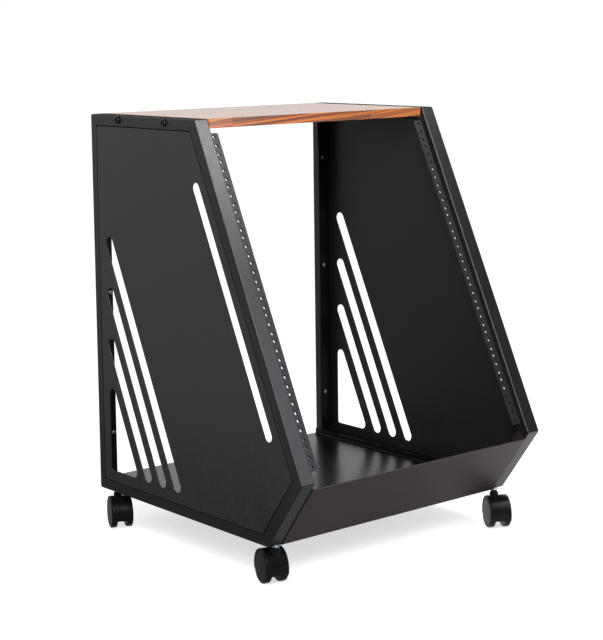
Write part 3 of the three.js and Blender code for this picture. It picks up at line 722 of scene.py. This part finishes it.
# %% Lacquered wood
def lacquered_wood(name, stave_width=0.042, stave_length=0.31):
    """Staves with stripes along X, under lacquer. A layer's height is a mix of z and y, less a
    slight fall along x. The noise runs 460 to a metre across the layers and 1.8 along them."""
    finish = Finish(name, Specular_IOR_Level=0.1, Coat_Weight=1.0, Coat_Roughness=0.22, Coat_IOR=1.5)
    x, y, z = (finish.coordinate(axis) for axis in "XYZ")
    row = (y * (1 / stave_width) + 0.37).floored()
    column = ((x + finish.chance(row) * 0.9) * (1 / stave_length) + 0.14).floored()
    chance = finish.chance(row * 7.31 + column * 3.17)
    layer = z * 0.8 + y * 0.6 - (chance * 0.12 + 0.02) * x
    within = y * 0.8 - z * 0.6
    stretched = {"X": x * 1.8 + chance * 40, "Y": within * 25, "Z": layer * 460}
    where = finish.node("CombineXYZ", {}, stretched)
    stripe = finish.noise(where, 1.0, 4.0, 0.5, 0.3)
    fibre = finish.noise(finish.place((25, 900, 900)), 1.0, 3.0, 0.6)
    tone = finish.ramp(stripe, [
        (0.39, shade(38, 10, 0)),
        (0.45, shade(88, 32, 4)),
        (0.51, shade(140, 66, 12)),
        (0.6, shade(176, 101, 26)),
    ])
    lighter = finish.mixed(chance * 0.6, tone, (*shade(166, 94, 24), 1))
    finish.feed(Base_Color=finish.mixed((fibre - 0.5) * 0.8 + 0.1, lighter, (*shade(90, 40, 18), 1)))
    finish.feed(Roughness=stripe * 0.2 + 0.4)
    return finish.bumped(fibre * 0.5 + stripe, 0.12, BUMP_DEPTH).material


wood = lacquered_wood("lacquered_wood")
BOARD_THICKNESS = 16.0
BOARD_CORNER = 4.0
BOARD_EDGE = 1.2

# %% The board
half = INNER_HALF - 0.5
board_low = [-half, 0, FRAME_HEIGHT - BOARD_THICKNESS]
board_high = [half, TOP_DEPTH, FRAME_HEIGHT]
board = placed(block(board_low, board_high, BOARD_CORNER, BOARD_EDGE, np.linspace(-90, 90, 14), 7))
piece("wooden_board", board, "frame", ["top_board"], wood)
print("board", round(2 * half, 1), "by", TOP_DEPTH, "mm")

# %% [markdown]
# Turned parts
#
# Screws, collars, wheels and the caster's neck are all turned: a profile goes round an axis. The
# grid's rows are the profile's points and its columns the angles. A row's radius may itself depend
# on the angle, and that is how the hexagonal sockets of the screws are made.

# %% Turning a profile
def turned(profile, start, axis, columns=48):
    """Rings round an axis. A profile row is (radius, distance along the axis), in millimetres, and
    the space is [x, depth, height]. The first and the last ring are closed flat."""
    axis = np.asarray(axis, float) / np.linalg.norm(axis)
    helper = np.array([0, 0, 1.0]) if abs(axis[2]) < 0.9 else np.array([1.0, 0, 0])
    across = np.cross(axis, helper)
    across /= np.linalg.norm(across)
    upright = np.cross(axis, across)
    angle = np.linspace(0, 2 * math.pi, columns, endpoint=False)[None, :, None]
    radius = np.stack([np.broadcast_to(row[0], columns) for row in profile])[..., None]
    distance = np.array([row[1] for row in profile])[:, None, None]
    ring = np.cos(angle) * across + np.sin(angle) * upright
    return shape_of(np.asarray(start) + radius * ring + distance * axis, caps=True)


def hexagon(across_corners, columns=48):
    """The radius of a hexagon at each angle: its flat side lies at the cosine of 30 degrees."""
    angle = np.linspace(0, 2 * math.pi, columns, endpoint=False)
    within = (angle % (math.pi / 3)) - math.pi / 6
    return across_corners * math.cos(math.pi / 6) / np.cos(within)


def fillet(centre, radius, first, last, steps=6):
    """Profile rows on an arc, between two angles in degrees."""
    return list(arc(centre, radius, *np.radians([first, last]), steps))


def button_screw(seat, direction, head, height, socket, depth, shank, reach):
    """A button head with a hexagonal socket. Its dome is a quarter of an ellipse, which starts at
    the upright edge of the head and ends at the socket's bevel."""
    rows = [(shank - 0.4, reach), (shank, reach - 0.4), (shank, 0.0), (head - 0.2, 0.0), (head, -0.2)]
    edge = 0.3 * height
    rise = np.radians(np.linspace(0, 90, 9))
    crown_start = socket + 0.5
    radius = crown_start + (head - crown_start) * np.cos(rise)
    rows += list(zip(radius, -edge - (height - edge) * np.sin(rise)))
    rows += [(hexagon(socket + 0.15), -height + 0.1), (hexagon(socket), -height + 0.4)]
    rows += [(hexagon(socket), -height + depth), (hexagon(socket * 0.2), -height + depth + 0.2)]
    return turned(rows, seat, direction)


# %% [markdown]
# Bolts and screws
#
# Four button-head bolts hold the board, two through each top bar. Smaller screws of the same kind
# hold the panels, the rails, the apron and the shelf. Black oxide is nearly black, with a tight
# highlight on the dome, and the sockets look like dark crescents. Each head stands a hair's
# breadth off its seat, so that the two never share a plane.

# %% Bolts and screws
def black_oxide(name, dark, worn_bright):
    """Blackened steel: dark, smooth on the dome, a little brown where fingers and keys rub it."""
    finish = Finish(name, Metallic=1.0, IOR=1.6)
    where = finish.place()
    worn = finish.noise(where, 260, 4.0, 0.6)
    finish.feed(Base_Color=finish.ramp(worn, [(0.3, dark), (0.75, worn_bright)]))
    finish.feed(Roughness=worn * 0.3 + 0.18)
    return finish.bumped(worn, 0.1, 0.0002).material


bolt_black = black_oxide("black_oxide_bolt", shade(40, 40, 42), shade(74, 70, 68))
screw_black = black_oxide("black_oxide_screw", shade(110, 110, 116), shade(160, 156, 154))
SMALL = dict(head=4.0, height=2.2, socket=1.3, depth=1.1, shank=2.0)
LARGE = dict(head=6.7, height=3.8, socket=2.9, depth=2.4, shank=4.0)
LIFT = 0.3
BOLT_DEPTHS = [86.4, 224.8]
PANEL_SCREW_SHARES = [0.15, 0.528, 0.842]
SHORT_REACH = 7.0
BITE_IN_BOARD = 18.5
POST_SCREW_INSET = 9

for side, hand in SIDES:
    for number, depth in enumerate(BOLT_DEPTHS, 1):
        seat = [side * (HALF_WIDTH + LIFT), depth, FRAME_HEIGHT - BOARD_THICKNESS / 2]
        bolt = button_screw(seat, [-side, 0, 0], reach=BAR_WIDTH + BITE_IN_BOARD, **LARGE)
        name = f"top_bolt_{hand}_{number}"
        piece(f"bolt_{hand}_{number}", placed(bolt), "frame", [name], bolt_black)
    for number, share in enumerate(PANEL_SCREW_SHARES, 1):
        flange_face = BAR_DEPTHS[0] + PANEL_GAP + SHEET
        seat = [side * (INNER_HALF + POST_SCREW_INSET), flange_face + LIFT, FRAME_HEIGHT * share]
        made = placed(button_screw(seat, [0, -1, 0], reach=SHORT_REACH, **SMALL))
        name = f"panel_screw_{hand}_{number}"
        piece(f"screw_panel_{hand}_{number}", made, "frame", [name], screw_black)
print(2 * len(BOLT_DEPTHS), "bolts and", 2 * len(PANEL_SCREW_SHARES), "panel screws")

# %% The hidden screws of the rails, the apron and the shelf
nose = Line(OUTLINE[3], OUTLINE[4])
APRON_HALF = INNER_HALF - PANEL_GAP
APRON_SEEN = INNER_HALF - 0.4
APRON_DROP = 13.0
APRON_RETURN = 15.5
APRON_BEND = 5.0
APRON_SCREW_SHARES = [0.22, 0.78]
SHELF_TOP = 17.0
LUG_THICKNESS = 3.0
LUG_MIDDLE = 9
LUG_DEPTHS = [90.0, BASE_DEPTH - 88.0]
TO_RAIL_SCREW = 16.0
SHELF_REACH = 4.5

apron_length = (NOSE_HEIGHT - APRON_BEND) / -nose.down[1] - APRON_DROP
for side, hand in SIDES:
    outwards = [side, 0, 0]
    lug_x = side * (INNER_HALF - LUG_MIDDLE)
    lug_underside = SHELF_TOP - SHEET - FIT - LUG_THICKNESS
    places = zip(TAB_SHARES, APRON_SCREW_SHARES, LUG_DEPTHS)
    for number, (tab_share, apron_share, lug_depth) in enumerate(places, 1):
        run = RAIL_TOP + rail_length * tab_share
        rail_seat = [side * (INNER_HALF - FIT - RAIL_SHEET - LIFT), *slope.at(run, TO_RAIL_SCREW)]
        run = APRON_DROP + apron_length * apron_share
        on_return = nose.at(run, (SHEET + APRON_RETURN) / 2)
        apron_seat = [side * (APRON_HALF - SHEET - LIFT), *on_return]
        shelf_seat = [lug_x, lug_depth, lug_underside - LIFT]
        for kind, seat, direction, reach in [
            ("rail", rail_seat, outwards, SHORT_REACH),
            ("apron", apron_seat, outwards, SHORT_REACH),
            ("shelf", shelf_seat, [0, 0, 1], SHELF_REACH),
        ]:
            made = placed(button_screw(seat, direction, reach=reach, **SMALL))
            node = [f"{kind}_screw_{hand}_{number}"]
            name = f"screw_{kind}_{hand}_{number}"
            piece(name, made, "frame", node, screw_black)
print("apron", round(apron_length, 1), "mm from its top edge to its bend")

# %% [markdown]
# The shelf and the apron
#
# Both are folded sheet. A folded sheet is one strip of constant thickness along a bent line: the
# line is set back by the thickness to give the other face, the two make a closed section, and the
# section is carried straight across the cabinet or along it.

# %% Folded sheet
def folded(corners, bend, thickness, steps=7):
    """The closed section of a folded sheet. Its outer line has an arc at each corner, and its inner
    line is the outer one moved square to itself by the thickness."""
    corners = np.asarray(corners, float)
    threes = zip(corners, corners[1:], corners[2:])
    bends = [rounded_corner(*three, bend, steps) for three in threes]
    line = np.concatenate([corners[:1], *bends, corners[-1:]])
    step = np.diff(line, axis=0)
    step /= np.linalg.norm(step, axis=1, keepdims=True)
    square = np.stack([-step[:, 1], step[:, 0]], 1)
    square = np.concatenate([square[:1], (square[1:] + square[:-1]) / 2, square[-1:]])
    square /= np.linalg.norm(square, axis=1, keepdims=True)
    return np.concatenate([line, (line + thickness * square)[::-1]])


def carried(section, places, axis):
    """A section carried straight along an axis of [x, depth, height], from place to place."""
    rows = [np.insert(section, axis, place, 1) for place in places]
    return shape_of(np.array(rows), caps=True)


# %% The apron
APRON_FOOT = 20.0
plane_top = nose.at(APRON_DROP, 0.0)
foot_corner = nose.reaches(0.0, 1, 0.0)
foot_end = np.array([foot_corner[0] - APRON_BEND - APRON_FOOT, 0.0])
apron_section = folded([plane_top, foot_corner, foot_end], APRON_BEND, SHEET)
apron = placed(carried(apron_section, [-APRON_SEEN, APRON_SEEN], 0))
piece("apron", apron, "frame", ["front_apron"], apron_coat)

inside_sheet = 0.4
corners = np.array([
    nose.at(APRON_DROP, inside_sheet),
    nose.at(APRON_DROP, APRON_RETURN),
    nose.reaches(APRON_RETURN, 1, APRON_BEND),
    nose.at(APRON_DROP + apron_length, inside_sheet),
])
return_plate = flat_plate("apron_return", [corners], SHEET, 0.2)
for side, hand in SIDES:
    made = stood_up(return_plate, side * (APRON_HALF - SHEET / 2))
    piece(f"apron_return_{hand}", made, "frame", ["front_apron"], apron_coat)

# %% The shelf
SHELF_LIP = 9.0
SHELF_BEND = 2.6
shelf_half = INNER_HALF - PANEL_GAP
shelf_rear = 1.5
lip_front = nose.reaches(APRON_RETURN + FIT, 1, SHELF_TOP - SHEET)[0]
floor_front = nose.reaches(SHEET + FIT, 1, SHELF_TOP - SHEET)[0]
tray_line = [
    [-shelf_half, SHELF_TOP + SHELF_LIP],
    [-shelf_half, SHELF_TOP - SHEET],
    [shelf_half, SHELF_TOP - SHEET],
    [shelf_half, SHELF_TOP + SHELF_LIP],
]
tray = carried(folded(tray_line, SHELF_BEND, SHEET), [shelf_rear, lip_front], 1)
tongue_half = shelf_half - SHEET - FIT
tongue_low = [-tongue_half, lip_front - 1, SHELF_TOP - SHEET]
tongue = block(tongue_low, [tongue_half, floor_front, SHELF_TOP], 0.2, 0.2)
# The shelf gets the darker coat: painted shade.
piece("shelf_tray", placed(tray), "frame", ["bottom_shelf"], shelf_shaded_coat)
piece("shelf_front", placed(tongue), "frame", ["bottom_shelf"], shelf_shaded_coat)
print("shelf from", shelf_rear, "to", round(floor_front, 1), "mm deep")

# %% [markdown]
# The casters
#
# A twin-wheel caster has a hood of moulded nylon: a fender round the top, a web between the wheels,
# and a tapered boss that takes the steel pin. The wheels carry smooth, slightly domed covers with a
# fine groove round them. All of it is worked out in the caster's own frame, [axle, trail, height],
# and then turned to the angle at which the caster stands.

# %% Moulded nylon and zinc
def moulded_nylon(name, colour, roughness):
    """Black nylon: a soft sheen with faint flow marks and fine scuffs."""
    finish = Finish(name, IOR=1.5, Specular_IOR_Level=0.17)
    where = finish.place()
    flow = finish.noise(where, 55, 3.0, 0.5, 0.6)
    scuff = finish.noise(where, 900, 3.0, 0.7)
    lighter = tuple(min(1.0, v * 1.5 + 0.002) for v in colour)
    finish.feed(Base_Color=finish.mixed(flow * 0.7 + scuff * 0.3, (*colour, 1), (*lighter, 1)))
    finish.feed(Roughness=(flow - 0.5) * 0.16 + (scuff - 0.5) * 0.12 + roughness)
    return finish.bumped(scuff * 0.5 + flow * 0.5, 0.08, 0.0003).material


def zinc_plate(name):
    """Bright zinc: turned rings in the bump, and faint clouds in tone and gloss."""
    finish = Finish(name, Metallic=1.0)
    where = finish.place()
    cloud = finish.noise(where, 200, 3.0)
    rings = finish.noise(finish.place((1, 1, 60)), 60, 1.0)
    finish.feed(Base_Color=finish.ramp(cloud, [(0.3, shade(176, 196, 206)), (0.7, shade(226, 236, 240))]))
    finish.feed(Roughness=cloud * 0.2 + 0.16)
    return finish.bumped(rings, 0.15, 0.0002).material


hood_nylon = moulded_nylon("hood_nylon", shade(7, 7, 10), 0.3)
wheel_nylon = moulded_nylon("wheel_nylon", shade(8, 7, 7), 0.34)
zinc = zinc_plate("zinc_plate")

# %% The parts of one caster
WHEEL_RADIUS = 27.0
AXLE_HEIGHT = WHEEL_RADIUS - CASTER_HEIGHT
TRAIL = 18.0
WRAP = 20.0
HOOD_RADIUS = 30.5
HOOD_WALL = 2.4
HOOD_HALF = 18.75
WEB_WIDTH = 13.0
WHEEL_START = 8.5
CASTER_INSET = 18.6


def fender():
    """A thin shell round the axle. Its section across is a bar with rounded edges, whose radius
    falls with the fourth power of the way from the middle. It is swept through the hood's angle."""
    edge = 1.1
    mid = HOOD_RADIUS - HOOD_WALL / 2
    right = fillet((HOOD_HALF - edge, mid), edge, -90, 90, 7)
    left = fillet((-HOOD_HALF + edge, mid), edge, 90, 270, 7)
    section = np.array(right + left)
    across, radius = section[:, 0], section[:, 1]
    radius = radius + np.where(radius > mid, 0.1, 0) - 0.5 * (across / HOOD_HALF) ** 4
    angle = np.radians(np.linspace(-WRAP, 180 + WRAP, 49))[:, None]
    trail = TRAIL + radius * np.cos(angle)
    height = AXLE_HEIGHT + radius * np.sin(angle)
    return shape_of(points_of(across, trail, height), caps=True)


def web():
    """The wall between the wheels: a segment of a disc."""
    first, last = math.radians(-WRAP), math.radians(180 + WRAP)
    outline = arc((TRAIL, AXLE_HEIGHT), HOOD_RADIUS - 1.4, first, last, 40)
    points, faces = flat_plate("caster_web", [outline], WEB_WIDTH, 0.8)
    return np.column_stack([points[:, 2], points[:, 0], points[:, 1]]), faces


def boss():
    """The tapered boss and the neck, turned about the pin."""
    rows = [(5.6, AXLE_HEIGHT), (6.0, AXLE_HEIGHT + 0.4)]
    rows += fillet((7.0, -8.6), 1.0, -5, 90, 6) + fillet((6.6, -6.8), 0.8, 270, 180, 5)
    rows += [(5.8, -3.7), (5.5, -3.4), (3.9, -3.4), (3.9, -25.4)]
    return turned(rows[::-1], [0, 0, 0], [0, 0, 1])


def wheel_profile():
    """Half of the twin wheel, to be turned about the axle: a blind bore, a tread with round
    shoulders, a groove, and a cover that is domed by less than a millimetre."""
    shoulder = WHEEL_RADIUS - 2.0
    rows = [(3.3, 7.3), (3.3, 0.3), (3.6, 0.0), (shoulder - 2, 0.0)]
    rows += fillet((shoulder, 2.0), 2.0, -90, 0, 7) + fillet((shoulder, 9.0), 2.0, 0, 80, 7)
    cover = WHEEL_RADIUS - 4.0
    rows += [(cover + 1.6, 10.9), (cover + 1.3, 10.2), (cover + 0.7, 10.1), (cover + 0.4, 10.5)]
    share = np.linspace(1, 0.02, 10)
    rows += list(zip(cover * share, 11.0 - 0.45 * share ** 2))
    return rows


def stem():
    """The pin, the collar and the stem that goes up into the frame."""
    rows = [(3.2, -25.1), (3.6, -24.7), (3.6, -3.1), (6.2, -3.1)] + fillet((6.2, -2.7), 0.4, -90, 0, 4)
    rows += fillet((6.2, -0.7), 0.4, 0, 90, 4) + [(5.0, -0.3), (5.0, 14.5), (4.5, 15.0)]
    return turned(rows, [0, 0, 0], [0, 0, 1])


# %% Four casters at their angles
def at_caster(shape, origin, degrees):
    """Turns points [axle, trail, height] about the stem and moves them to it."""
    points, faces = shape
    a = math.radians(degrees)
    axes = np.array([[math.cos(a), -math.sin(a), 0], [-math.sin(a), -math.cos(a), 0], [0, 0, 1]])
    return placed((np.asarray(origin) + points @ axes, faces))


CASTERS = {
    "front_left": (-1, BASE_DEPTH - 4.0, -16),
    "front_right": (1, BASE_DEPTH - 4.0, 151),
    "rear_left": (-1, 28.0, 157),
    "rear_right": (1, 28.0, 202),
}
for place, (side, depth, degrees) in CASTERS.items():
    origin = [side * (HALF_WIDTH - CASTER_INSET), depth, 0.0]
    body = f"caster_{place}"
    node = [f"caster_hood_{place}"]
    for part, shape in [("fender", fender()), ("web", web()), ("boss", boss())]:
        made = at_caster(shape, origin, degrees)
        piece(f"{part}_{place}", made, body, node, hood_nylon)
    made = at_caster(stem(), origin, degrees)
    piece(f"stem_{place}", made, "frame", [f"caster_stem_{place}"], zinc)
    for end, way in [("a", 1), ("b", -1)]:
        made = turned(wheel_profile(), [way * WHEEL_START, TRAIL, AXLE_HEIGHT], [way, 0, 0], 96)
        made = at_caster(made, origin, degrees)
        wheel_node = [f"caster_wheel_{end}_{place}"]
        name = f"wheel_{end}_piece_{place}"
        piece(name, made, f"wheel_{end}_{place}", wheel_node, wheel_nylon)
    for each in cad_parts[f"caster_axle_{place}"].material_slots:
        each.material = zinc
print(len(CASTERS), "casters, at", [degrees for side, depth, degrees in CASTERS.values()], "degrees")

# %% [markdown]
# The camera and the light
#
# The photograph was taken from the front left, a little above the top of the cabinet, with the
# camera tipped slightly down. The light is a white room, soft from all round. Black paint shows what
# it mirrors, so in mirrors the room is dark except at its back, and the floor is dark except at the
# right. Three lamps add the rest: one above the front right for the slopes, a small low one at the
# right for the nose, and a tall narrow one at the front left, which draws the bright lines along the
# rounded edges.

# %% Camera
def look(place, yaw, pitch, roll, lens, shift):
    """A camera from its place and three angles in degrees. Yaw turns from +Y towards +X, pitch looks
    down, and roll turns the picture."""
    data = bpy.data.cameras.new("camera")
    camera = linked("camera", data)
    data.sensor_width = 36.0
    data.lens = lens
    data.shift_x, data.shift_y = shift
    yaw, pitch, roll = (math.radians(v) for v in (yaw, pitch, roll))
    level = Matrix.Rotation(-yaw, 4, "Z") @ Matrix.Rotation(math.pi / 2 - pitch, 4, "X")
    camera.matrix_world = Matrix.Translation(place) @ level @ Matrix.Rotation(roll, 4, "Z")
    return camera


PICTURE_HEIGHT = 640
bpy.context.scene.camera = look(
    place=(-1.89264, -2.25145, 0.89035),
    yaw=39.6542,
    pitch=6.6293,
    roll=-0.7325,
    lens=1683.92 * 36 / PICTURE_HEIGHT,
    shift=(0.0, -96 / PICTURE_HEIGHT),
)
bpy.context.scene.view_settings.view_transform = "Standard"
print("camera", round(bpy.context.scene.camera.data.lens, 1), "mm")

# %% The white room
room = Finish("white_room", "worlds", "Background", Color=(1, 1, 1, 1))
bpy.context.scene.world = room.material
AS_LIGHT = 0.7
BRIGHT_SIDE = (0.35, 0.94, 0.0)
DARK_SIDE_SHARE = 0.07
direction = room.node("TexCoord", {}, {}, "Object")
dot = {"operation": "DOT_PRODUCT"}
towards_back = room.node("VectorMath", dot, {0: direction, 1: BRIGHT_SIDE}, "Value")
bright = ((towards_back - 0.4) * 7).clamped()
in_mirrors = bright * (1 - DARK_SIDE_SHARE) + DARK_SIDE_SHARE
mirror = room.ray_is("Is Glossy Ray")
plain = room.ray_is("Is Camera Ray") + room.ray_is("Is Transmission Ray")
room.feed(Strength=plain + mirror * in_mirrors + (1 - plain - mirror) * AS_LIGHT)
print("room as light", AS_LIGHT)

# %% The floor
floor_finish = Finish("white_floor", Roughness=1.0, Specular_IOR_Level=0.0, Emission_Strength=1.0)
seen = floor_finish.ray_is("Is Camera Ray") + floor_finish.ray_is("Is Transmission Ray")
mirrored = floor_finish.ray_is("Is Glossy Ray")
PALE = (0.66, 0.66, 0.66, 1)
DARK = (0.06, 0.06, 0.06, 1)
SEEN_GLOW = 0.63
NEAR_GLOW = 0.34
RIGHT_GLOW = 1.2
FAR_LEFT_GLOW = 0.3
# In mirrors the floor is dark and glows brighter towards the right and a little at the far left: a
# painted reflection.
floor_finish.feed(Base_Color=floor_finish.mixed(mirrored, PALE, DARK))
x = floor_finish.coordinate("X")
near_side = ((x + 0.45) * 4).clamped()
on_the_right = ((x - 0.1) * 2.5).clamped()
far_left = ((-0.5 - x) * 4).clamped()
in_mirrors = near_side * (on_the_right * RIGHT_GLOW + NEAR_GLOW) + far_left * FAR_LEFT_GLOW
floor_finish.feed(Emission_Color=seen * SEEN_GLOW + mirrored * in_mirrors)
print("floor glow", SEEN_GLOW, "seen and", NEAR_GLOW, "to", RIGHT_GLOW + NEAR_GLOW, "mirrored")

edge = np.linspace(-15, 15, 5)
across, forwards = np.meshgrid(edge, edge)
points = points_of(across, forwards, 0.0)
floor_mesh = bpy.data.meshes.new("floor")
floor_mesh.from_pydata(points.reshape(-1, 3).tolist(), [], grid_faces(5, 5, False, False).tolist())
floor = linked("floor", floor_mesh)
floor_mesh.materials.append(floor_finish.material)

# %% Lamps
def soft_lamp(name, place, target, size, power, colour=(1, 1, 1)):
    """A flat lamp that faces its target and that the camera can't see. Its size is in metres, width
    by height, and its power in watts."""
    data = bpy.data.lights.new(name, "AREA")
    data.shape = "RECTANGLE"
    data.size, data.size_y = size
    data.energy = power
    data.color = colour
    lamp = linked(name, data)
    towards = Vector(target) - Vector(place)
    lamp.visible_camera = False
    lamp.location = place
    lamp.rotation_euler = towards.to_track_quat("-Z", "Y").to_euler()
    print(name, power, "watts")


soft_lamp("slope_light", (0.6, -0.85, 1.7), (-0.2, 0.0, 0.6), (0.6, 0.6), 14.5)
soft_lamp("nose_light", (0.3, -0.87, 0.61), (-0.2, -0.24, 0.24), (0.25, 0.6), 1.6, (1.0, 0.95, 1.08))
soft_lamp("edge_light", (-1.25, -1.4, 1.45), (0.0, -0.15, 0.45), (0.3, 1.2), 42)
